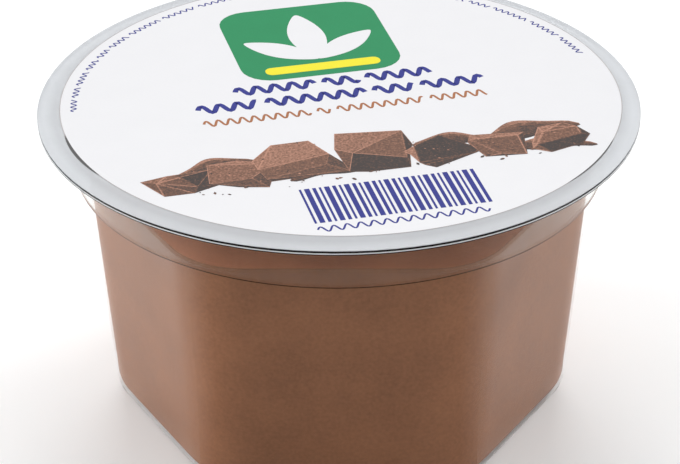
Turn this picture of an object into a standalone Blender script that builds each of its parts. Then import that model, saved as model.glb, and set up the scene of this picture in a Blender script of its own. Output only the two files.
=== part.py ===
"""A sealed pot of chocolate mousse: a clear cup with a hexagonal body and a round rim, the mousse, and the lid film.

The origin is the middle of the pot's base, +Z is up, and one flat side of the body faces -Y.
"""

import math

import bmesh
import bpy

# Driving dimensions, in metres
RIM_RADIUS = 0.0475            # outer radius of the flange and of the film on it
POT_HEIGHT = 0.0516            # floor to the film's top
LEDGE_HEIGHT = 0.0420          # floor to the underside of the ledge, where the round collar starts
LEDGE_FLAT = 0.0369            # middle of the body to a flat side, just under the ledge
FOOT_FLAT = 0.0338             # the same at the floor, so the body narrows downwards
CORNER_RADIUS = 0.0133         # upright corners of the hexagon
HEEL_RADIUS = 0.0020           # rounding between the sides and the base
COLLAR_FOOT_RADIUS = 0.0421    # outside of the collar at the ledge
COLLAR_TOP_RADIUS = 0.0431     # outside of the collar under the flange
COLLAR_EDGE_RADIUS = 0.0006    # rounding of the ledge's outer edge
WALL = 0.0008
FLANGE_THICKNESS = 0.00035
FILM_THICKNESS = 0.00015
MOUSSE_EDGE_RADIUS = 0.0010    # rounding of the mousse's upper edge
GAP = 0.0003                   # clearance between neighbouring pieces

# How finely the round stretches are divided
CORNER_STEPS = 8
FLAT_STEPS = 6
FILLET_STEPS = 4

FILM_BOTTOM = POT_HEIGHT - FILM_THICKNESS
FLANGE_TOP = FILM_BOTTOM - GAP
FLANGE_BOTTOM = FLANGE_TOP - FLANGE_THICKNESS
LEDGE_TOP = LEDGE_HEIGHT + WALL


def clear_scene():
    for old in list(bpy.data.objects):
        bpy.data.objects.remove(old, do_unlink=True)


def make_material(name, colour, roughness, metallic=0.0, transmission=0.0):
    material = bpy.data.materials.new(name)
    material.use_nodes = True
    shader = material.node_tree.nodes["Principled BSDF"]
    shader.inputs["Base Color"].default_value = (*colour, 1.0)
    shader.inputs["Roughness"].default_value = roughness
    shader.inputs["Metallic"].default_value = metallic
    shader.inputs["Transmission Weight"].default_value = transmission
    material.diffuse_color = (*colour, 1.0)
    return material


def hexagon_outline(flat, corner_radius):
    """Points (x, y) of a hexagon whose flat sides lie at that distance, with round corners."""
    to_centre = (flat - corner_radius) / math.cos(math.pi / 6)
    arcs = []
    for corner in range(6):
        middle = math.radians(60 * corner)
        arc = []
        for step in range(CORNER_STEPS + 1):
            turn = middle + math.radians(60) * (step / CORNER_STEPS - 0.5)
            arc.append((to_centre * math.cos(middle) + corner_radius * math.cos(turn),
                        to_centre * math.sin(middle) + corner_radius * math.sin(turn)))
        arcs.append(arc)
    points = []
    for arc, following in zip(arcs, arcs[1:] + arcs[:1]):
        points += arc
        start, end = arc[-1], following[0]
        for step in range(1, FLAT_STEPS):
            part = step / FLAT_STEPS
            points.append((start[0] + (end[0] - start[0]) * part, start[1] + (end[1] - start[1]) * part))
    return points


def round_outline(radius):
    """Points (x, y) of a circle, each in the same direction as the hexagon's point that it joins."""
    directions = [math.atan2(y, x) for x, y in hexagon_outline(LEDGE_FLAT, CORNER_RADIUS)]
    return [(radius * math.cos(angle), radius * math.sin(angle)) for angle in directions]


def body_ring(height, inward):
    """The body's outline at a height, moved inward from its outer surface, with its height."""
    flat = FOOT_FLAT + (LEDGE_FLAT - FOOT_FLAT) * height / LEDGE_HEIGHT
    return hexagon_outline(flat - inward, CORNER_RADIUS - inward), height


def round_ring(radius, height):
    return round_outline(radius), height


def heel_rings(floor, inward, radius):
    """Rings up the rounded heel, from the flat base to the side."""
    rings = []
    for step in range(FILLET_STEPS + 1):
        turn = math.pi / 2 * step / FILLET_STEPS
        height = floor + radius * (1 - math.cos(turn))
        rings.append(body_ring(height, inward + radius * (1 - math.sin(turn))))
    return rings


def lofted_object(name, rings, material):
    """A closed solid skinned through the rings in turn, the first and last filled with a flat face.

    Every ring runs counterclockwise seen from above and has the same number of points.
    """
    mesh_builder = bmesh.new()
    loops = [[mesh_builder.verts.new((x, y, height)) for x, y in outline] for outline, height in rings]
    mesh_builder.faces.new(reversed(loops[0]))
    for lower, upper in zip(loops, loops[1:]):
        for k in range(len(lower)):
            mesh_builder.faces.new((lower[k - 1], lower[k], upper[k], upper[k - 1]))
    mesh_builder.faces.new(loops[-1])
    mesh = bpy.data.meshes.new(name)
    mesh_builder.to_mesh(mesh)
    mesh_builder.free()
    mesh.shade_smooth()
    mesh.set_sharp_from_angle(angle=math.radians(30))
    mesh.materials.append(material)
    piece = bpy.data.objects.new(name, mesh)
    bpy.context.collection.objects.link(piece)
    return piece


def make_cup():
    """The clear cup, as one wall: up its outside from the base, over the flange and down its inside."""
    rings = heel_rings(0.0, 0.0, HEEL_RADIUS)
    rings.append(body_ring(LEDGE_HEIGHT, 0.0))
    for step in range(FILLET_STEPS + 1):
        turn = math.pi / 2 * step / FILLET_STEPS
        rings.append(round_ring(COLLAR_FOOT_RADIUS - COLLAR_EDGE_RADIUS * (1 - math.sin(turn)),
                                LEDGE_HEIGHT + COLLAR_EDGE_RADIUS * (1 - math.cos(turn))))
    rings.append(round_ring(COLLAR_TOP_RADIUS, FLANGE_BOTTOM))
    rings.append(round_ring(RIM_RADIUS, FLANGE_BOTTOM))
    rings.append(round_ring(RIM_RADIUS, FLANGE_TOP))
    rings.append(round_ring(COLLAR_TOP_RADIUS - WALL, FLANGE_TOP))
    rings.append(round_ring(COLLAR_FOOT_RADIUS - WALL, LEDGE_TOP))
    rings.append(body_ring(LEDGE_TOP, WALL))
    rings += reversed(heel_rings(WALL, WALL, HEEL_RADIUS - WALL))
    clear_plastic = make_material("clear_plastic", (0.93, 0.94, 0.95), 0.06, transmission=0.95)
    return lofted_object("cup", rings, clear_plastic)


def make_mousse():
    """The mousse fills the hexagonal body up to the ledge."""
    clearance = WALL + GAP
    rings = heel_rings(clearance, clearance, HEEL_RADIUS - WALL)
    for step in range(FILLET_STEPS + 1):
        turn = math.pi / 2 * step / FILLET_STEPS
        height = LEDGE_TOP - MOUSSE_EDGE_RADIUS * (1 - math.sin(turn))
        rings.append(body_ring(height, clearance + MOUSSE_EDGE_RADIUS * (1 - math.cos(turn))))
    milk_chocolate = make_material("milk_chocolate_mousse", (0.19, 0.085, 0.045), 0.6)
    return lofted_object("mousse", rings, milk_chocolate)


def make_lid_film():
    """The flat film over the whole flange."""
    rings = [round_ring(RIM_RADIUS, FILM_BOTTOM), round_ring(RIM_RADIUS, POT_HEIGHT)]
    white_film = make_material("white_film", (0.9, 0.9, 0.92), 0.35)
    return lofted_object("lid_film", rings, white_film)


clear_scene()
make_cup()
make_mousse()
make_lid_film()
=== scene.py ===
# Looks for a sealed pot of chocolate mousse: a clear six-sided cup, its filling and the printed lid film
import math
import random

import bmesh
import bpy
from mathutils import Matrix, Vector, noise


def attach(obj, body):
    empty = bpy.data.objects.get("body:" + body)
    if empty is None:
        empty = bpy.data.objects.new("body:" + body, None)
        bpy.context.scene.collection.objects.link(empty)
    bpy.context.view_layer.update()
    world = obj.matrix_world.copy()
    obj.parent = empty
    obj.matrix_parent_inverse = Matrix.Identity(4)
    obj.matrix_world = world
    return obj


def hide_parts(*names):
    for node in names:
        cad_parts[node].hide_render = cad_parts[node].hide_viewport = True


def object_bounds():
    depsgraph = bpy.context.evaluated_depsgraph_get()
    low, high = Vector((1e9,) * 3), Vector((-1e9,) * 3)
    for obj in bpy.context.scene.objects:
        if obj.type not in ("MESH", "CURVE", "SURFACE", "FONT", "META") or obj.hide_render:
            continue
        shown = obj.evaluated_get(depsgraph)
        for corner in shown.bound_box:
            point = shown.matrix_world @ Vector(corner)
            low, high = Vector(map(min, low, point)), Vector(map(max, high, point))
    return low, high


mm = 0.001
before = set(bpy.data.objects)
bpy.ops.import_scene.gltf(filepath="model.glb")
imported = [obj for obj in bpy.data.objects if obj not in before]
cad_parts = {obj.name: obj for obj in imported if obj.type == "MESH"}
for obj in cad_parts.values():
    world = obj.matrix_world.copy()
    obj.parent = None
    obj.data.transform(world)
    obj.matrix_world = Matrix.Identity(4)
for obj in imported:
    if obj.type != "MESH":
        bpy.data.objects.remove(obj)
cadBox = [list(corner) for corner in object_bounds()]
potHeight = cadBox[1][2]
rimRadius = cadBox[1][0]
print("frame loaded:", sorted(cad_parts))


# ring shapes shared by the cup and the mousse

ringDetail = {"cornerSteps": 14, "flatSteps": 12, "filletSteps": 4, "bodySteps": 6}
sharpAngle = 32                   # edges that turn by more degrees stay sharp


def hexagonPlaces(flat, corner, height):
    # a hexagon with one flat to the front, its flats at that distance and its corners rounded
    toCentre = (flat - corner)/math.cos(math.pi/6)
    cornerSteps, flatSteps = ringDetail["cornerSteps"], ringDetail["flatSteps"]
    arcs = []
    for side in range(6):
        middle = math.radians(60*side)
        centre = Vector((math.cos(middle), math.sin(middle), 0))*toCentre
        turns = [middle + math.radians(60)*(k/cornerSteps - 0.5) for k in range(cornerSteps + 1)]
        arcs.append([centre + Vector((math.cos(turn), math.sin(turn), 0))*corner for turn in turns])
    places = []
    for arc, following in zip(arcs, arcs[1:] + arcs[:1]):
        places += arc
        places += [arc[-1].lerp(following[0], k/flatSteps) for k in range(1, flatSteps)]
    return [place + Vector((0, 0, height)) for place in places]


def roundPlaces(radius, height):
    # a circle whose points lie in the same directions as the hexagon's
    outline = hexagonPlaces(cupSizes["ledgeFlat"], cupSizes["cornerRadius"], 0)
    return [place.normalized()*radius + Vector((0, 0, height)) for place in outline]


def quarter():
    # sine and cosine along a quarter turn
    steps = ringDetail["filletSteps"]
    return [(math.sin(math.pi/2*k/steps), math.cos(math.pi/2*k/steps)) for k in range(steps + 1)]


def skinRings(bm, rings):
    # extrudes the first ring's edges from ring to ring and closes both ends
    ring = [bm.verts.new(place) for place in rings[0]]
    edges = [bm.edges.new(pair) for pair in zip(ring, ring[1:] + ring[:1])]
    bmesh.ops.contextual_create(bm, geom=edges)
    for places in rings[1:]:
        made = bmesh.ops.extrude_edge_only(bm, edges=edges)["geom"]
        fresh = {item for item in made if isinstance(item, bmesh.types.BMVert)}
        lifted = []
        for vert, place in zip(ring, places):
            above = next(e.other_vert(vert) for e in vert.link_edges if e.other_vert(vert) in fresh)
            above.co = place
            lifted.append(above)
        ring = lifted
        edges = [bm.edges.get(pair) for pair in zip(ring, ring[1:] + ring[:1])]
    bmesh.ops.contextual_create(bm, geom=edges)
    bmesh.ops.recalc_face_normals(bm, faces=bm.faces)
    if bm.calc_volume(signed=True) < 0:
        bmesh.ops.reverse_faces(bm, faces=bm.faces)


def finishPiece(bm, name, material, replaced=()):
    # turns the bmesh into a piece that rides on the part's one body
    mesh = bpy.data.meshes.new(name)
    bm.to_mesh(mesh)
    bm.free()
    mesh.shade_smooth()
    mesh.set_sharp_from_angle(angle=math.radians(sharpAngle))
    mesh.materials.append(material)
    piece = bpy.data.objects.new(name, mesh)
    bpy.context.scene.collection.objects.link(piece)
    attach(piece, "root")
    if replaced:
        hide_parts(*replaced)
    print("made", name, "with", len(mesh.polygons), "faces")
    return piece


# shader effects that several materials share

def newGroup(name, inputs, outputs):
    group = bpy.data.node_groups.new(name, "ShaderNodeTree")
    for label, kind, value in inputs:
        socket = group.interface.new_socket(name=label, in_out="INPUT", socket_type=kind)
        if value is not None:
            socket.default_value = value
    for label, kind in outputs:
        group.interface.new_socket(name=label, in_out="OUTPUT", socket_type=kind)
    return group, group.nodes.new("NodeGroupInput"), group.nodes.new("NodeGroupOutput")


grainLook = {
    "fineDetail": 4.0, "fineRoughness": 0.6, "cloudDetail": 2.0,
    "range": (0.32, 0.68), "depth": 0.05*mm,
}


def grainGroup():
    # two sizes of noise that mix a dark and a light shade, with the fine one also as a height
    group, source, result = newGroup(
        "twoSizedGrain",
        [("Position", "NodeSocketVector", None), ("Fine Scale", "NodeSocketFloat", 1500.0),
         ("Cloud Scale", "NodeSocketFloat", 120.0), ("Fine Share", "NodeSocketFloat", 0.6),
         ("Dark", "NodeSocketColor", (0.1, 0.05, 0.03, 1)),
         ("Light", "NodeSocketColor", (0.2, 0.1, 0.06, 1))],
        [("Color", "NodeSocketColor"), ("Height", "NodeSocketFloat")])
    nodes, links = group.nodes, group.links
    fine = nodes.new("ShaderNodeTexNoise")
    fine.inputs["Detail"].default_value = grainLook["fineDetail"]
    fine.inputs["Roughness"].default_value = grainLook["fineRoughness"]
    cloud = nodes.new("ShaderNodeTexNoise")
    cloud.inputs["Detail"].default_value = grainLook["cloudDetail"]
    blend = nodes.new("ShaderNodeMix")
    spread = nodes.new("ShaderNodeMapRange")
    spread.inputs["From Min"].default_value, spread.inputs["From Max"].default_value = grainLook["range"]
    shade = nodes.new("ShaderNodeMix")
    shade.data_type = "RGBA"
    for texture, label in ((fine, "Fine Scale"), (cloud, "Cloud Scale")):
        links.new(source.outputs["Position"], texture.inputs["Vector"])
        links.new(source.outputs[label], texture.inputs["Scale"])
    links.new(source.outputs["Fine Share"], blend.inputs[0])
    links.new(cloud.outputs["Fac"], blend.inputs[2])
    links.new(fine.outputs["Fac"], blend.inputs[3])
    links.new(blend.outputs[0], spread.inputs["Value"])
    links.new(spread.outputs["Result"], shade.inputs[0])
    links.new(source.outputs["Dark"], shade.inputs[6])
    links.new(source.outputs["Light"], shade.inputs[7])
    links.new(shade.outputs[2], result.inputs["Color"])
    links.new(fine.outputs["Fac"], result.inputs["Height"])
    return group


twoSizedGrain = grainGroup()


def newMaterial(name, roughness, settings):
    # a Principled material with its constants set on the sockets
    material = bpy.data.materials.new(name)
    material.use_nodes = True
    nodes, links = material.node_tree.nodes, material.node_tree.links
    shader = nodes["Principled BSDF"]
    shader.inputs["Roughness"].default_value = roughness
    for label, value in settings.items():
        shader.inputs[label].default_value = value
    return material, nodes, links, shader


def addGrain(nodes, links, shader, dark, light, scales, bump=0.0):
    # puts the shared grain on Base Color and, where asked, on the normal; its scales are those
    # of the fine and the cloudy noise and the fine one's share
    position = nodes.new("ShaderNodeTexCoord")
    grain = nodes.new("ShaderNodeGroup")
    grain.node_tree = twoSizedGrain
    for label, value in zip(("Fine Scale", "Cloud Scale", "Fine Share"), scales):
        grain.inputs[label].default_value = value
    grain.inputs["Dark"].default_value = (*dark, 1)
    grain.inputs["Light"].default_value = (*light, 1)
    links.new(position.outputs["Object"], grain.inputs["Position"])
    links.new(grain.outputs["Color"], shader.inputs["Base Color"])
    if bump:
        relief = nodes.new("ShaderNodeBump")
        relief.inputs["Strength"].default_value = bump
        relief.inputs["Distance"].default_value = grainLook["depth"]
        links.new(grain.outputs["Height"], relief.inputs["Height"])
        links.new(relief.outputs["Normal"], shader.inputs["Normal"])
    return grain


# the clear cup

cupSizes = {
    "wall": 0.9*mm,
    "rimWall": 0.32*mm,           # the drawn-out ledge and collar are thinner
    "ledgeHeight": 42.0*mm,       # floor to the underside of the ledge
    "ledgeFlat": 36.9*mm,         # axis to a flat side under the ledge
    "footFlat": 33.8*mm,          # the same at the floor
    "cornerRadius": 13.3*mm,
    "heelRadius": 2.0*mm,
    "ledgeFillet": 0.3*mm,
    "innerFillet": 0.1*mm,
    "thinning": 3.0*mm,           # height over which the body's wall thins out under the ledge
    "collarFoot": 42.1*mm,
    "collarTop": 43.1*mm,
    "collarEdge": 0.27*mm,
    "flangeThickness": 0.74*mm,
    "flangeEdge": 0.12*mm,
    "flangeFillet": 0.5*mm,
    "cutLines": (0.20*mm, 0.42*mm),   # the pale middle of the flange's cut edge, above its underside
    "filmThickness": 0.12*mm,
    "filmSink": 0.01*mm,          # how far the film sinks into the flange
    "inkThickness": 0.015*mm,
    "upright": 0.7,               # the collar's faces have less than this as the upward part of their normal
    "edgeShare": 0.9,             # how much of the flange's rounded edge gets the painted dark edge line
}
cupLook = {
    "tint": (0.985, 0.99, 0.995), "roughness": 0.015, "shine": 1.5,
    "waviness": 0.02, "waveScale": 90.0, "waveDetail": 1.0, "waveDepth": 1.0*mm,
    "bend": 1.03,                 # a thin wall hardly bends what is behind it
    "bodyCoat": 0.5, "rimCoat": 0.45,
    "rimTint": (0.965, 0.95, 0.92),
    "paintedEdgeShadeTint": (0.004, 0.005, 0.006),  # painted shade: near-black glass on tight bends and edges, standing in for the dark refraction seen there
    "cutDark": (0.72, 0.74, 0.76), "cutLight": (0.86, 0.88, 0.90),
    "cutRoughness": 0.35, "cutClear": 0.35, "cutGrain": (1500, 80, 0.4), "cutBump": 0.1,
}

filmTop = potHeight - 2*cupSizes["inkThickness"]
filmBottom = filmTop - cupSizes["filmThickness"]
flangeTop = filmBottom + cupSizes["filmSink"]
flangeBottom = flangeTop - cupSizes["flangeThickness"]
ledgeTop = cupSizes["ledgeHeight"] + cupSizes["rimWall"]


def flatAt(height):
    share = height/cupSizes["ledgeHeight"]
    return cupSizes["footFlat"] + (cupSizes["ledgeFlat"] - cupSizes["footFlat"])*share


def bodyPlaces(height, inward):
    # the body's outline at a height, moved inward from the outer surface
    return hexagonPlaces(flatAt(height) - inward, cupSizes["cornerRadius"] - inward, height)


def heelPlaces(floor, inward, radius):
    # the rounded heel, from the flat base up to the side
    return [bodyPlaces(floor + radius*(1 - c), inward + radius*(1 - s)) for s, c in quarter()]


def sidePlaces(inward):
    # the side between the heel and the ledge, from below
    steps = ringDetail["bodySteps"]
    return [bodyPlaces(cupSizes["ledgeHeight"]*k/steps, inward) for k in range(1, steps)]


def cupRings():
    # up the outside from the base, over the flange and down the inside
    c = cupSizes
    wall, edge, inner = c["wall"], c["flangeEdge"], c["innerFillet"]
    ledge, under, collar, neck = c["ledgeHeight"], c["ledgeFillet"], c["collarEdge"], c["flangeFillet"]
    collarIn, footIn = c["collarTop"] - c["rimWall"], c["collarFoot"] - c["rimWall"]
    rings = heelPlaces(0, 0, c["heelRadius"]) + sidePlaces(0)
    for s, k in quarter():
        rings.append(bodyPlaces(ledge - under*(1 - s), -under*(1 - k)))
    for s, k in quarter():
        rings.append(roundPlaces(c["collarFoot"] - collar*(1 - s), ledge + collar*(1 - k)))
    for s, k in quarter():
        rings.append(roundPlaces(c["collarTop"] + neck*(1 - k), flangeBottom - neck*(1 - s)))
    for s, k in quarter():
        rings.append(roundPlaces(rimRadius - edge*(1 - s), flangeBottom + edge*(1 - k)))
    for height in c["cutLines"]:
        rings.append(roundPlaces(rimRadius, flangeBottom + height))
    for s, k in quarter():
        rings.append(roundPlaces(rimRadius - edge*(1 - k), flangeTop - edge*(1 - s)))
    for s, k in quarter():
        rings.append(roundPlaces(collarIn + neck*(1 - s), flangeTop - neck*(1 - k)))
    for s, k in quarter():
        rings.append(roundPlaces(footIn - inner*(1 - k), ledgeTop + inner*(1 - s)))
    for s, k in quarter():
        rings.append(bodyPlaces(ledgeTop - inner*(1 - k), c["rimWall"] - inner*(1 - s)))
    rings.append(bodyPlaces(ledgeTop - c["thinning"], wall))
    rings += sidePlaces(wall)[::-1] + heelPlaces(wall, wall, c["heelRadius"] - wall)[::-1]
    return rings


def clearPlastic(name, tint, coat):
    # clear plastic that lets lamps through, so that the filling behind it is lit
    material, nodes, links, shader = newMaterial(name, cupLook["roughness"], {
        "Base Color": (*tint, 1), "IOR": cupLook["bend"], "Transmission Weight": 1.0,
        "Coat Weight": coat, "Coat IOR": cupLook["shine"], "Coat Roughness": cupLook["roughness"]})
    position = nodes.new("ShaderNodeTexCoord")
    waves = nodes.new("ShaderNodeTexNoise")
    waves.inputs["Scale"].default_value = cupLook["waveScale"]
    waves.inputs["Detail"].default_value = cupLook["waveDetail"]
    relief = nodes.new("ShaderNodeBump")
    relief.inputs["Strength"].default_value = cupLook["waviness"]
    relief.inputs["Distance"].default_value = cupLook["waveDepth"]
    links.new(position.outputs["Object"], waves.inputs["Vector"])
    links.new(waves.outputs["Fac"], relief.inputs["Height"])
    links.new(relief.outputs["Normal"], shader.inputs["Normal"])
    lampRays = nodes.new("ShaderNodeLightPath")
    through = nodes.new("ShaderNodeBsdfTransparent")
    pick = nodes.new("ShaderNodeMixShader")
    links.new(lampRays.outputs["Is Shadow Ray"], pick.inputs[0])
    links.new(shader.outputs["BSDF"], pick.inputs[1])
    links.new(through.outputs["BSDF"], pick.inputs[2])
    links.new(pick.outputs["Shader"], nodes["Material Output"].inputs["Surface"])
    return material


def cutEdge():
    # the flange's cut edge, slightly frosted
    look = cupLook
    material, nodes, links, shader = newMaterial("cutEdge", look["cutRoughness"], {
        "Transmission Weight": look["cutClear"], "IOR": look["shine"]})
    addGrain(nodes, links, shader, look["cutDark"], look["cutLight"], look["cutGrain"], look["cutBump"])
    return material


def cupPart(face):
    # which of the cup's four materials a face has: body and flat faces, collar, painted dark edge lines or
    # cut edge
    c, (low, high) = cupSizes, cupSizes["cutLines"]
    middle = face.calc_center_median()
    radius = middle.xy.length
    # the flange's rounded edges get the painted dark edge line, all but the cut edge's pale middle
    if radius > rimRadius - c["flangeEdge"]*c["edgeShare"]:
        return 3 if low < middle.z - flangeBottom < high else 2
    # the collar's foot fillet also gets the painted dark edge line
    if middle.z < c["ledgeHeight"] + c["collarEdge"] and radius > c["collarFoot"] - c["collarEdge"]:
        return 2
    return int(middle.z > c["ledgeHeight"] and abs(face.normal.z) < c["upright"])


def makeCup():
    bm = bmesh.new()
    skinRings(bm, cupRings())
    for face in bm.faces:
        face.material_index = cupPart(face)
    body = clearPlastic("clearBody", cupLook["tint"], cupLook["bodyCoat"])
    cup = finishPiece(bm, "clearCup", body, ["cup"])
    cup.data.materials.append(clearPlastic("clearRim", cupLook["rimTint"], cupLook["rimCoat"]))
    # near-black glass on the flange's edges and the collar's foot: painted shade for the dark refraction
    # there
    cup.data.materials.append(clearPlastic("paintedDarkEdge", cupLook["paintedEdgeShadeTint"], cupLook["rimCoat"]))
    cup.data.materials.append(cutEdge())


makeCup()


# the mousse

mousseLook = {
    "reach": 0.06*mm,             # how far it reaches into the cup's wall
    "edgeRadius": 0.12*mm,
    "topRings": 14, "topSpread": 0.9,
    "swell": 0.25*mm, "swellScale": 110,    # unevenness of its top
    "dark": (0.207, 0.0855, 0.0392),
    "light": (0.290, 0.123, 0.0570),
    "paintedLitTopDark": (0.52, 0.205, 0.105),    # painted light: the top made paler, standing in for light that would come through the lid
    "paintedLitTopLight": (0.68, 0.285, 0.15),
    "topFrom": (0.75, 0.97),      # upward part of the normal over which the painted lighter top sets in
    "roughness": 0.55, "shine": 0.3, "bump": 0.008,
    "grain": (1700, 110, 0.6), "topGrain": (1700, 110, 0.55),
}


def makeMousse():
    look = mousseLook
    inward = cupSizes["wall"] - look["reach"]
    topInward = cupSizes["rimWall"] - look["reach"]
    edge = look["edgeRadius"]
    rings = heelPlaces(inward, inward, cupSizes["heelRadius"] - inward) + sidePlaces(inward)
    rings.append(bodyPlaces(ledgeTop - cupSizes["thinning"], inward))
    rings += [bodyPlaces(ledgeTop - edge*(1 - s), topInward + edge*(1 - c)) for s, c in quarter()]
    flat, corner = flatAt(ledgeTop) - topInward - edge, cupSizes["cornerRadius"] - topInward - edge
    for k in range(1, look["topRings"]):
        share = (1 - k/look["topRings"])**look["topSpread"]
        rings.append(hexagonPlaces(flat*share, corner*share, ledgeTop))
    for ring in rings[-look["topRings"] + 1:]:
        for place in ring:
            place.z += look["swell"]*noise.noise(place*look["swellScale"])
    bm = bmesh.new()
    skinRings(bm, rings)
    material, nodes, links, shader = newMaterial("milkChocolateMousse", look["roughness"], {
        "Specular IOR Level": look["shine"]})
    side = addGrain(nodes, links, shader, look["dark"], look["light"], look["grain"], look["bump"])
    # painted light: the upward-facing top gets a paler colour than the sides
    paintedLitTop = addGrain(nodes, links, shader, look["paintedLitTopDark"], look["paintedLitTopLight"], look["topGrain"])
    upward = nodes.new("ShaderNodeSeparateXYZ")
    above = nodes.new("ShaderNodeMapRange")
    above.inputs["From Min"].default_value, above.inputs["From Max"].default_value = look["topFrom"]
    blend = nodes.new("ShaderNodeMix")
    blend.data_type = "RGBA"
    links.new(nodes["Texture Coordinate"].outputs["Normal"], upward.inputs[0])
    links.new(upward.outputs["Z"], above.inputs["Value"])
    links.new(above.outputs["Result"], blend.inputs[0])
    links.new(side.outputs["Color"], blend.inputs[6])
    links.new(paintedLitTop.outputs["Color"], blend.inputs[7])
    links.new(blend.outputs[2], shader.inputs["Base Color"])
    finishPiece(bm, "mousseFilling", material, ["mousse"])


makeMousse()


# the lid film and its print

filmLook = {
    "colour": (0.63, 0.65, 0.68), "darker": 0.95, "grain": (900, 60, 0.4), "bump": 0.05,
    "roughness": 0.22, "alpha": 0.72, "shine": 0.5,
    "paintedInnerShade": 0.87, "paintedShadeAt": (44.8*mm, 46.3*mm),    # painted shade: darker towards the print, between two radii, for the flange's bend seen through the film
    "softEdge": (0.02*mm, 0.03*mm),
}


def makeFilm():
    inset, rise = filmLook["softEdge"]
    rings = [roundPlaces(rimRadius - inset, filmBottom), roundPlaces(rimRadius, filmBottom + rise),
             roundPlaces(rimRadius, filmTop - rise), roundPlaces(rimRadius - inset, filmTop)]
    bm = bmesh.new()
    skinRings(bm, rings)
    material, nodes, links, shader = newMaterial("milkyFilm", filmLook["roughness"], {
        "Alpha": filmLook["alpha"], "Specular IOR Level": filmLook["shine"]})
    tone = [filmLook["darker"]*part for part in filmLook["colour"]]
    grain = addGrain(nodes, links, shader, tone, filmLook["colour"], filmLook["grain"], filmLook["bump"])
    flat = nodes.new("ShaderNodeVectorMath")
    flat.operation = "MULTIPLY"
    flat.inputs[1].default_value = (1, 1, 0)
    away = nodes.new("ShaderNodeVectorMath")
    away.operation = "LENGTH"
    # painted shade: the film's colour darkens towards the print
    level = nodes.new("ShaderNodeMapRange")
    level.inputs["From Min"].default_value, level.inputs["From Max"].default_value = filmLook["paintedShadeAt"]
    level.inputs["To Min"].default_value = filmLook["paintedInnerShade"]
    dim = nodes.new("ShaderNodeVectorMath")
    dim.operation = "SCALE"
    links.new(nodes["Texture Coordinate"].outputs["Object"], flat.inputs[0])
    links.new(flat.outputs[0], away.inputs[0])
    links.new(away.outputs["Value"], level.inputs["Value"])
    links.new(grain.outputs["Color"], dim.inputs[0])
    links.new(level.outputs["Result"], dim.inputs["Scale"])
    links.new(dim.outputs[0], shader.inputs["Base Color"])
    finishPiece(bm, "lidFilm", material, ["lid_film"])


makeFilm()

stackStep = 0.002*mm              # keeps shapes that overlap apart in height
printPlace = {"centre": (0.3*mm, 1.2*mm), "radius": 44.3*mm, "turn": 14.5, "corners": 256}
inkGrain = (2500, 200, 0.6)
inks = {
    "white": {"dark": (0.70, 0.70, 0.72), "light": (0.72, 0.72, 0.74), "roughness": 0.3, "shine": 0.5},
    "green": {"dark": (0.0, 0.205, 0.07), "light": (0.002, 0.225, 0.08), "roughness": 0.45, "shine": 0.2},
    "yellow": {"dark": (0.74, 0.66, 0.008), "light": (0.78, 0.70, 0.012), "roughness": 0.45, "shine": 0.2},
    "blue": {"dark": (0.006, 0.012, 0.19), "light": (0.010, 0.018, 0.225), "roughness": 0.45, "shine": 0.2},
    "orange": {"dark": (0.32, 0.115, 0.04), "light": (0.37, 0.14, 0.055), "roughness": 0.45, "shine": 0.2},
}


def inkMaterial(name):
    ink = inks[name]
    material, nodes, links, shader = newMaterial(name + "Ink", ink["roughness"], {
        "Specular IOR Level": ink["shine"]})
    addGrain(nodes, links, shader, ink["dark"], ink["light"], inkGrain)
    return material


def layInk(bm, name, material, layer):
    # gives flat shapes their thickness and lays them on the film, in the print's own turned frame
    thickness = cupSizes["inkThickness"]
    bmesh.ops.recalc_face_normals(bm, faces=bm.faces)
    made = bmesh.ops.extrude_face_region(bm, geom=bm.faces[:])["geom"]
    raised = [item for item in made if isinstance(item, bmesh.types.BMVert)]
    bmesh.ops.translate(bm, verts=raised, vec=(0, 0, thickness))
    bmesh.ops.recalc_face_normals(bm, faces=bm.faces)
    place = Matrix.Translation((*printPlace["centre"], filmTop + layer*thickness))
    place = place @ Matrix.Rotation(math.radians(printPlace["turn"]), 4, "Z")
    bmesh.ops.transform(bm, matrix=place, verts=bm.verts)
    finishPiece(bm, name, material)


def facesOf(verts):
    # the faces that touch these vertices, in a settled order
    return list(dict.fromkeys(face for vert in verts for face in vert.link_faces))


def addPlate(bm, centre, width, height, corner):
    # a rectangle, rounded where a corner radius is given
    place = Matrix.Translation((*centre, 0)) @ Matrix.Diagonal((width, height, 1, 1))
    made = bmesh.ops.create_grid(bm, x_segments=1, y_segments=1, size=0.5, matrix=place)
    if corner:
        bmesh.ops.bevel(bm, geom=made["verts"], offset=corner, segments=6, profile=0.5,
                        affect="VERTICES", material=-1)


def addRibbon(bm, line, stroke):
    # a flat ribbon along a line of points, as a pen stroke
    edge = None
    for k, point in enumerate(line):
        ahead = (line[min(k + 1, len(line) - 1)] - line[max(k - 1, 0)]).normalized()
        across = Vector((-ahead.y, ahead.x, 0))*stroke/2
        if edge is None:
            pair = [bm.verts.new(point + across), bm.verts.new(point - across)]
            edge = bm.edges.new(pair)
            continue
        made = bmesh.ops.extrude_edge_only(bm, edges=[edge])["geom"]
        edge = next(item for item in made if isinstance(item, bmesh.types.BMEdge))
        fresh = [item for item in made if isinstance(item, bmesh.types.BMVert)]
        for old, place in zip(pair, (point + across, point - across)):
            next(e.other_vert(old) for e in old.link_edges if e.other_vert(old) in fresh).co = place
        pair = [next(e.other_vert(old) for e in old.link_edges if e.other_vert(old) in fresh) for old in pair]


wavePoints = 12                   # points along each wave


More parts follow.
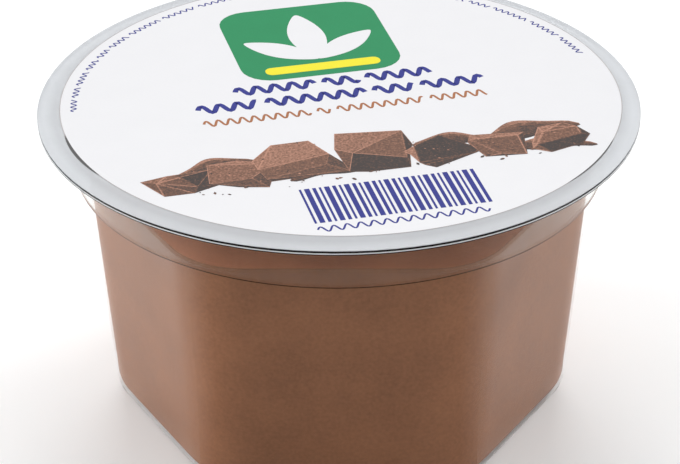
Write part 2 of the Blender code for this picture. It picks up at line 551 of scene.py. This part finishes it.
def waveLine(start, length, amplitude, pitch, bend=None):
    # a row of even waves, straight from a place or along an arc from an angle
    count = max(2, round(length/pitch))*wavePoints
    line = []
    for k in range(count + 1):
        along = length*k/count
        up = amplitude*math.sin(2*math.pi*along/pitch)
        if bend is None:
            line.append(Vector((start[0] + along, start[1] + up, 0)))
        else:
            turn = start - along/bend
            line.append(Vector((math.cos(turn), math.sin(turn), 0))*(bend + up))
    return line


def whitePrint():
    bm = bmesh.new()
    bmesh.ops.create_circle(bm, cap_ends=True, segments=printPlace["corners"], radius=printPlace["radius"])
    layInk(bm, "whitePrint", inkMaterial("white"), 0)


# a painted shade line round the print's edge, standing in for the film's edge and the collar's wall seen
# through the flange
paintedShadeLine = {
    "width": 0.12*mm, "points": 720, "pale": 0.78, "dark": 0.12, "onset": 3,
    "shadows": [(206, 10, 0.42*mm), (331, 11, 0.16*mm)],   # painted shadows: middle and reach in degrees, and extra width
    "black": (0.01, 0.01, 0.012), "grey": (0.40, 0.37, 0.37), "lightGrey": (0.52, 0.48, 0.48),
    "grain": (900, 120, 0.5), "roughness": 0.4, "shine": 0.3,
}


def paintShadeLine():
    # a painted shade line where the print ends, wider and darker along two stretches of painted shadow
    bm = bmesh.new()
    shade = bm.faces.layers.float.new("shade")
    radius, pale, dark = printPlace["radius"], paintedShadeLine["pale"], paintedShadeLine["dark"]
    made = []
    for k in range(paintedShadeLine["points"]):
        angle = 360*k/paintedShadeLine["points"]
        near = [max(0, 1 - ((angle - middle)/reach)**2) for middle, reach, extra in paintedShadeLine["shadows"]]
        wide = paintedShadeLine["width"] + sum(part*spot[2] for part, spot in zip(near, paintedShadeLine["shadows"]))
        turn = math.radians(angle - printPlace["turn"])
        way = Vector((math.cos(turn), math.sin(turn), 0))
        tone = pale + (dark - pale)*min(1, paintedShadeLine["onset"]*max(near))
        made.append((bm.verts.new(way*radius), bm.verts.new(way*(radius + wide)), tone))
    for (inner, outer, tone), (nextInner, nextOuter, _) in zip(made, made[1:] + made[:1]):
        corners = bmesh.ops.contextual_create(bm, geom=[inner, outer, nextOuter, nextInner])["faces"]
        corners[0][shade] = tone
    material, nodes, links, shader = newMaterial("paintedShadeLineInk", paintedShadeLine["roughness"], {
        "Specular IOR Level": paintedShadeLine["shine"]})
    grain = addGrain(nodes, links, shader, paintedShadeLine["grey"], paintedShadeLine["lightGrey"], paintedShadeLine["grain"])
    shadeOf = nodes.new("ShaderNodeAttribute")
    shadeOf.attribute_name = "shade"
    mix = nodes.new("ShaderNodeMix")
    mix.data_type = "RGBA"
    mix.inputs[6].default_value = (*paintedShadeLine["black"], 1)
    links.new(shadeOf.outputs["Fac"], mix.inputs[0])
    links.new(grain.outputs["Color"], mix.inputs[7])
    links.new(mix.outputs[2], shader.inputs["Base Color"])
    layInk(bm, "paintedShadeLine", material, 0)


badge = {
    "centre": (0, 22.0*mm), "size": 26.5*mm, "corner": 5.0*mm,
    # the turn and length of each leaf; widths and drops are shares of the leaf's length and the badge's size
    "leaf": 17.0*mm, "leaves": ((90, 1.0), (38, 0.8), (142, 0.8)), "leafWidth": 0.36, "leafDrop": 0.27,
    "leafCorners": 48, "leafTip": 0.45,
    "band": 2.6*mm, "bandWidth": 0.72, "bandDrop": 0.38, "bandRound": 0.45,
}


def addLeaf(bm, base, length, width, turn, lift):
    # a pointed leaf, from a circle drawn in towards both ends
    made = bmesh.ops.create_circle(bm, cap_ends=True, segments=badge["leafCorners"], radius=0.5)["verts"]
    for vert in made:
        vert.co.y *= width/length*(1 - (2*vert.co.x)**2*badge["leafTip"])
        vert.co.x += 0.5
    place = Matrix.Translation((*base, lift)) @ Matrix.Rotation(turn, 4, "Z") @ Matrix.Scale(length, 4)
    bmesh.ops.transform(bm, matrix=place, verts=made)


def badgePrint():
    (x, y), size, band = badge["centre"], badge["size"], badge["band"]
    bm = bmesh.new()
    addPlate(bm, (x, y), size, size, badge["corner"])
    layInk(bm, "greenBadge", inkMaterial("green"), 1)
    foot = y - size*badge["leafDrop"]
    bm = bmesh.new()
    for k, (turn, share) in enumerate(badge["leaves"]):
        length = badge["leaf"]*share
        addLeaf(bm, (x, foot), length, length*badge["leafWidth"], math.radians(turn), k*stackStep)
    layInk(bm, "badgeLeaves", inkMaterial("white"), 2)
    bm = bmesh.new()
    addPlate(bm, (x, y - size*badge["bandDrop"]), size*badge["bandWidth"], band, band*badge["bandRound"])
    layInk(bm, "badgeBand", inkMaterial("yellow"), 2)


titles = {
    # left end, height and the length of each stretch of waves
    "rows": [(-15.8*mm, 6.1*mm, (13.0*mm, 5.6*mm, 10.4*mm)),
             (-22.8*mm, 1.3*mm, (9.6*mm, 16.0*mm, 6.4*mm, 10.0*mm))],
    "gap": 1.5*mm, "amplitude": 1.25*mm, "pitch": 2.9*mm, "stroke": 0.9*mm,
}


def titlePrint(bm):
    for left, height, words in titles["rows"]:
        for word in words:
            line = waveLine((left, height), word, titles["amplitude"], titles["pitch"])
            addRibbon(bm, line, titles["stroke"])
            left += word + titles["gap"]


stripes = {
    "left": -13.4*mm, "right": 13.2*mm, "top": -28.0*mm, "bottom": -38.6*mm,
    "widths": (0.35*mm, 0.8*mm, 0.55*mm), "gap": 0.45*mm,
    # the row of waves under them
    "drop": 1.9*mm, "length": 26.0*mm, "amplitude": 0.75*mm, "pitch": 2.0*mm, "stroke": 0.32*mm,
}


def stripePrint(bm):
    # upright stripes in an even three-step rhythm
    left, k = stripes["left"], 0
    middle = (stripes["top"] + stripes["bottom"])/2
    while left < stripes["right"]:
        width = stripes["widths"][k % len(stripes["widths"])]
        addPlate(bm, (left + width/2, middle), width, stripes["top"] - stripes["bottom"], 0)
        left += width + stripes["gap"]
        k += 1
    start = (stripes["left"], stripes["bottom"] - stripes["drop"])
    line = waveLine(start, stripes["length"], stripes["amplitude"], stripes["pitch"])
    addRibbon(bm, line, stripes["stroke"])


edgeRows = {
    "radius": 42.2*mm, "spans": [(172, 97), (73, 7)],     # in degrees
    "amplitude": 0.42*mm, "pitch": 1.25*mm, "stroke": 0.24*mm,
    "word": (3.0*mm, 7.5*mm), "gap": 0.9*mm, "seed": 4,
}


def edgePrint(bm):
    # small rows of waves that follow the print's edge
    draw = random.Random(edgeRows["seed"])
    for first, last in edgeRows["spans"]:
        turn, end = math.radians(first), math.radians(last)
        while turn > end:
            word = draw.uniform(*edgeRows["word"])
            line = waveLine(turn, word, edgeRows["amplitude"], edgeRows["pitch"], edgeRows["radius"])
            addRibbon(bm, line, edgeRows["stroke"])
            turn -= (word + edgeRows["gap"])/edgeRows["radius"]


def bluePrint():
    bm = bmesh.new()
    titlePrint(bm)
    stripePrint(bm)
    edgePrint(bm)
    layInk(bm, "bluePrint", inkMaterial("blue"), 1)


subtitle = {
    "left": -22.8*mm, "height": -3.6*mm, "words": (17.0*mm, 2.0*mm, 14.0*mm, 9.0*mm), "gap": 1.2*mm,
    "amplitude": 0.95*mm, "pitch": 1.9*mm, "stroke": 0.42*mm,
}


def orangePrint():
    bm = bmesh.new()
    left = subtitle["left"]
    for word in subtitle["words"]:
        line = waveLine((left, subtitle["height"]), word, subtitle["amplitude"], subtitle["pitch"])
        addRibbon(bm, line, subtitle["stroke"])
        left += word + subtitle["gap"]
    layInk(bm, "orangePrint", inkMaterial("orange"), 1)


chunks = {
    "foot": -25.4*mm, "seed": 23,
    # middle, width, height and turn of each broken piece, in millimetres and degrees
    "row": [(-30.2, 12.0, 7.5, 10), (-21.0, 12.0, 9.5, -18), (-11.5, 14.5, 13.0, 8), (0.5, 13.5, 14.5, -12),
            (10.5, 10.5, 9.5, 25), (19.5, 9.5, 8.5, -8), (29.0, 10.5, 8.5, 12)],
    "points": 20, "radii": (0.75, 1), "cutOff": 0.1, "merge": 16,
    "light": (-0.62, 0.5, 0.6), "contrast": 0.75, "brightest": 0.85, "change": (-0.1, 0.15),
    "rim": 0.18, "rimWidth": (0.5, 1.1), "rimTone": (0.05, 0.55), "rimmed": 14,
    "dark": (0.020, 0.010, 0.008), "middle": (0.150, 0.060, 0.030), "edge": (0.42, 0.20, 0.13),
    "grain": (2600, 420, 0.5), "roughFrom": (0.3, 0.7), "roughTo": (-0.3, 0.3),
    "roughness": 0.5, "shine": 0.3,
}
shavings = {
    # middle, foot, length, width, turn and bend of each shaving
    "row": [(-25.0, 8.0, 14.0, 3.6, 18, 2.0), (14.5, 7.5, 15.0, 3.4, -14, 2.4),
            (24.5, 8.0, 18.0, 4.6, 12, 2.4), (26.5, 2.6, 16.0, 3.4, -5, 1.6), (-7.0, 2.2, 14.0, 2.4, 4, 1.2)],
    "rows": 18, "bands": 6, "tone": 0.22, "curl": 0.4, "light": 0.3, "change": (-0.1, 0.12),
    "tip": 0.12, "taper": 0.55, "wave": 0.3, "waves": 5,
}
crumbs = {
    "flakes": 90, "flakeSpread": 0.18, "flakeSize": (0.07, 0.3), "flakeTones": (0.05, 0.8, 0.95),
    "loose": 40, "across": (-34, 33), "height": (0.3, 0.8), "size": (0.12, 0.5), "tone": (0, 0.6),
    "squash": 0.55,
}


def addChunk(bm, shade, draw, spot, lift):
    # a broken piece as the upper side of a hull round random points, each facet toned by its slope;
    # it is made at a thousand times its size, which keeps the hull exact
    x, width, height, turn = spot
    stretch = Matrix.Diagonal((width/2, height/2, height/2, 1))
    cloud = []
    for k in range(chunks["points"]):
        place = Vector([draw.uniform(-1, 1) for axis in range(3)])
        place = place/max(abs(part) for part in place)*draw.uniform(*chunks["radii"])
        cloud.append(bm.verts.new(stretch @ place))
    made = bmesh.ops.convex_hull(bm, input=cloud)
    inside = made["geom_interior"] + made["geom_unused"]
    idle = {item for item in inside if isinstance(item, bmesh.types.BMVert)}
    bmesh.ops.delete(bm, geom=list(idle), context="VERTS")
    faces = [item for item in made["geom"] if isinstance(item, bmesh.types.BMFace) and item.is_valid]
    bmesh.ops.recalc_face_normals(bm, faces=faces)
    below = [face for face in faces if face.normal.z < chunks["cutOff"]]
    bmesh.ops.delete(bm, geom=below, context="FACES")
    faces = [face for face in faces if face.is_valid]
    edges = {edge for face in faces for edge in face.edges}
    verts = {vert for face in faces for vert in face.verts}
    limit = math.radians(chunks["merge"])
    bmesh.ops.dissolve_limit(bm, angle_limit=limit, verts=list(verts), edges=list(edges))
    verts = [vert for vert in verts if vert.is_valid]
    faces = sorted(facesOf(verts), key=lambda face: tuple(face.calc_center_median()))
    for face in faces:
        lit = chunks["contrast"]*face.normal.dot(Vector(chunks["light"]))
        face[shade] = min(chunks["brightest"], max(0, lit + draw.uniform(*chunks["change"])))
    for vert in verts:
        vert.co.z = 0
    bm.normal_update()
    wide = [face for face in faces if face.calc_area() > chunks["rimmed"]*chunks["rim"]**2]
    thickness = chunks["rim"]*draw.uniform(*chunks["rimWidth"])
    rims = bmesh.ops.inset_individual(bm, faces=wide, thickness=thickness, use_even_offset=True)["faces"]
    for face in rims:
        face[shade] = min(1, face[shade] + draw.uniform(*chunks["rimTone"]))
    verts = {vert for face in faces + rims for vert in face.verts}
    place = Matrix.Translation((x*mm, chunks["foot"] + height*mm/2, lift)) @ Matrix.Scale(mm, 4)
    bmesh.ops.transform(bm, matrix=place @ Matrix.Rotation(math.radians(turn), 4, "Z"), verts=list(verts))


def addShaving(bm, shade, draw, spot, lift):
    # a bent, tapered curl in bands of different tones
    s = shavings
    x, y, length, width, turn, bend = spot
    made = bmesh.ops.create_grid(bm, x_segments=s["rows"], y_segments=s["bands"], size=1)["verts"]
    for face in facesOf(made):
        across = face.calc_center_median().y
        tone = s["tone"] + s["curl"]*across**3 + s["light"]*max(0, across) + draw.uniform(*s["change"])
        face[shade] = min(1, max(0, tone))
    wobble = draw.uniform(0, 9)
    for vert in made:
        along, across = vert.co.xy
        taper = s["tip"] + (1 - s["tip"])*max(0, 1 - along*along)**s["taper"]
        waver = 1 + s["wave"]*math.sin(s["waves"]*along + wobble)
        vert.co = (along*length*mm/2, across*taper*width*mm/2*waver - bend*mm*along*along, 0)
    place = Matrix.Translation((x*mm, chunks["foot"] + y*mm, lift))
    place = place @ Matrix.Rotation(math.radians(turn), 4, "Z")
    bmesh.ops.transform(bm, matrix=place, verts=made)


def addCrumb(bm, shade, draw, at, size, tone, lift):
    # a small flattened polygon of one tone
    corners = draw.choice((4, 5, 6))
    made = bmesh.ops.create_circle(bm, cap_ends=True, segments=corners, radius=size*mm)["verts"]
    for face in facesOf(made):
        face[shade] = tone
    place = Matrix.Translation((at[0]*mm, chunks["foot"] + at[1]*mm, lift))
    place = place @ Matrix.Rotation(draw.uniform(0, 3), 4, "Z")
    bmesh.ops.transform(bm, matrix=place @ Matrix.Diagonal((1, crumbs["squash"], 1, 1)), verts=made)


def chocolateInk():
    # three tones by the shade of each face, broken up by the grain's height
    material, nodes, links, shader = newMaterial("chocolateInk", chunks["roughness"], {
        "Specular IOR Level": chunks["shine"]})
    grain = addGrain(nodes, links, shader, chunks["dark"], chunks["middle"], chunks["grain"])
    shadeOf = nodes.new("ShaderNodeAttribute")
    shadeOf.attribute_name = "shade"
    rough = nodes.new("ShaderNodeMapRange")
    rough.inputs["From Min"].default_value, rough.inputs["From Max"].default_value = chunks["roughFrom"]
    rough.inputs["To Min"].default_value, rough.inputs["To Max"].default_value = chunks["roughTo"]
    total = nodes.new("ShaderNodeMath")
    links.new(grain.outputs["Height"], rough.inputs["Value"])
    links.new(shadeOf.outputs["Fac"], total.inputs[0])
    links.new(rough.outputs["Result"], total.inputs[1])
    tone = None
    for low, colour in ((0.0, "middle"), (0.5, "edge")):
        weight = nodes.new("ShaderNodeMapRange")
        weight.inputs["From Min"].default_value = low
        weight.inputs["From Max"].default_value = low + 0.5
        mix = nodes.new("ShaderNodeMix")
        mix.data_type = "RGBA"
        mix.inputs[6].default_value = (*chunks["dark"], 1)
        mix.inputs[7].default_value = (*chunks[colour], 1)
        links.new(total.outputs["Value"], weight.inputs["Value"])
        links.new(weight.outputs["Result"], mix.inputs[0])
        if tone:
            links.new(tone, mix.inputs[6])
        tone = mix.outputs[2]
    links.new(tone, shader.inputs["Base Color"])
    return material


def chocolatePrint():
    draw = random.Random(chunks["seed"])
    bm = bmesh.new()
    shade = bm.faces.layers.float.new("shade")
    count = 0
    for spot in shavings["row"]:
        addShaving(bm, shade, draw, spot, count*stackStep)
        count += 1
    for spot in chunks["row"]:
        addChunk(bm, shade, draw, spot, count*stackStep)
        count += 1
    top = (count + 1)*stackStep
    spread = crumbs["flakeSpread"]
    for k in range(crumbs["flakes"]):
        x, width, height, turn = draw.choice(chunks["row"])
        at = (x + draw.gauss(0, spread)*width, height/2 + draw.gauss(0, spread)*height)
        size, tone = draw.uniform(*crumbs["flakeSize"]), draw.choice(crumbs["flakeTones"])
        addCrumb(bm, shade, draw, at, size, tone, top)
    for k in range(crumbs["loose"]):
        at = (draw.uniform(*crumbs["across"]), draw.gauss(*crumbs["height"]))
        size, tone = draw.uniform(*crumbs["size"]), draw.uniform(*crumbs["tone"])
        addCrumb(bm, shade, draw, at, size, tone, top)
    layInk(bm, "chocolatePrint", chocolateInk(), 1)


whitePrint()
paintShadeLine()
badgePrint()
bluePrint()
orangePrint()
chocolatePrint()
print("print laid on the film")


# the camera, at the photograph's angle

view = {
    "lens": 148.05, "distance": 453.5*mm, "aim": (0.06*mm, 0, 27.9*mm), "nearest": 10*mm,
    "elevation": 29.43, "turn": 0.82, "roll": -0.36,      # in degrees
}


def placeCamera():
    camera = bpy.data.objects.new("camera", bpy.data.cameras.new("camera"))
    bpy.context.scene.collection.objects.link(camera)
    camera.data.lens = view["lens"]
    camera.data.clip_start = view["nearest"]
    camera.matrix_world = (
        Matrix.Rotation(math.radians(view["turn"]), 4, "Z") @ Matrix.Translation(view["aim"])
        @ Matrix.Rotation(math.radians(90 - view["elevation"]), 4, "X")
        @ Matrix.Rotation(math.radians(view["roll"]), 4, "Z") @ Matrix.Translation((0, 0, view["distance"])))
    bpy.context.scene.camera = camera


placeCamera()


# a pale floor and soft studio light

studio = {
    "floor": (0.965, 0.975, 0.98), "floorReach": 2.5, "floorHeight": -0.05*mm,
    "roughness": 0.6, "shine": 0.2,
    "card": {"size": (0.30, 0.14), "farEdge": -0.0285, "height": -0.02*mm, "shade": 0.03,
             "corner": (0.0136, 0.0236), "fade": (48, 86)},    # the fade is in degrees round the corner
    "world": 0.53,
    "lamps": {
        "back": {"power": 6.9, "size": 0.6, "at": (0, 1.0, 1.2)},
        "backRight": {"power": 7.7, "size": 0.6, "at": (0.9, 0.75, 0.9)},
        "backLeft": {"power": 2.2, "size": 0.6, "at": (-0.9, 0.75, 0.9)},
        "leftHigh": {"power": 3.4, "size": 0.6, "at": (-0.99, 0, 0.99)},
        "leftLow": {"power": 4.9, "size": 0.6, "at": (-1.27, -0.05, 0.53)},
        "rightLow": {"power": 2.5, "size": 0.6, "at": (1.3, -0.2, 0.45)},
    },
}


def layStage(name, width, depth, centre, shade, height):
    # a flat sheet that belongs to the studio
    bm = bmesh.new()
    place = Matrix.Translation((*centre, height)) @ Matrix.Diagonal((width, depth, 1, 1))
    bmesh.ops.create_grid(bm, x_segments=1, y_segments=1, size=0.5, matrix=place)
    mesh = bpy.data.meshes.new(name)
    bm.to_mesh(mesh)
    bm.free()
    sheet = bpy.data.objects.new(name, mesh)
    bpy.context.scene.collection.objects.link(sheet)
    material, nodes, links, shader = newMaterial(name, studio["roughness"], {
        "Base Color": (*shade, 1), "Specular IOR Level": studio["shine"]})
    mesh.materials.append(material)
    return sheet, nodes, links, shader


def makeFloor():
    reach, card = studio["floorReach"], studio["card"]
    layStage("paleFloor", 2*reach, 2*reach, (0, 0), studio["floor"], studio["floorHeight"])
    # a dark card in front of the pot that is seen only mirrored in its front side
    width, depth = card["size"]
    middle, dark = (0, card["farEdge"] - depth/2), [card["shade"]]*3
    sheet, nodes, links, shader = layStage("darkCard", width, depth, middle, dark, card["height"])
    for ray in ("camera", "diffuse", "transmission", "shadow"):
        setattr(sheet, "visible_" + ray, False)
    # it fades into the floor's tone round the two corners of that side
    position = nodes.new("ShaderNodeTexCoord")
    parts = nodes.new("ShaderNodeSeparateXYZ")
    aside, beyond, ahead, around = [nodes.new("ShaderNodeMath") for k in range(4)]
    aside.operation = "ABSOLUTE"
    beyond.operation = "SUBTRACT"
    beyond.inputs[1].default_value = card["corner"][0]
    ahead.operation = "SUBTRACT"
    ahead.inputs[0].default_value = -card["corner"][1]
    around.operation = "ARCTAN2"
    fade = nodes.new("ShaderNodeMapRange")
    for label, angle in zip(("From Min", "From Max"), card["fade"]):
        fade.inputs[label].default_value = math.radians(angle)
    mix = nodes.new("ShaderNodeMix")
    mix.data_type = "RGBA"
    mix.inputs[6].default_value = (*dark, 1)
    mix.inputs[7].default_value = (*studio["floor"], 1)
    links.new(position.outputs["Object"], parts.inputs[0])
    links.new(parts.outputs["X"], aside.inputs[0])
    links.new(aside.outputs["Value"], beyond.inputs[0])
    links.new(parts.outputs["Y"], ahead.inputs[1])
    links.new(beyond.outputs["Value"], around.inputs[0])
    links.new(ahead.outputs["Value"], around.inputs[1])
    links.new(around.outputs["Value"], fade.inputs["Value"])
    links.new(fade.outputs["Result"], mix.inputs[0])
    links.new(mix.outputs[2], shader.inputs["Base Color"])


def addLamp(name, choice):
    lamp = bpy.data.lights.new(name + "Softbox", "AREA")
    lamp.shape = "SQUARE"
    lamp.size = choice["size"]
    lamp.energy = choice["power"]
    holder = bpy.data.objects.new(name + "Softbox", lamp)
    bpy.context.scene.collection.objects.link(holder)
    at = Vector(choice["at"])
    holder.location = at
    holder.rotation_euler = (-at).to_track_quat("-Z", "Y").to_euler()


def lightStudio():
    for name, choice in studio["lamps"].items():
        addLamp(name, choice)
    world = bpy.data.worlds.new("studio")
    bpy.context.scene.world = world
    world.use_nodes = True
    background = world.node_tree.nodes["Background"]
    background.inputs["Color"].default_value = (1, 1, 1, 1)
    background.inputs["Strength"].default_value = studio["world"]
    bpy.context.scene.view_settings.view_transform = "Standard"


makeFloor()
lightStudio()
print("camera, floor and lights placed")
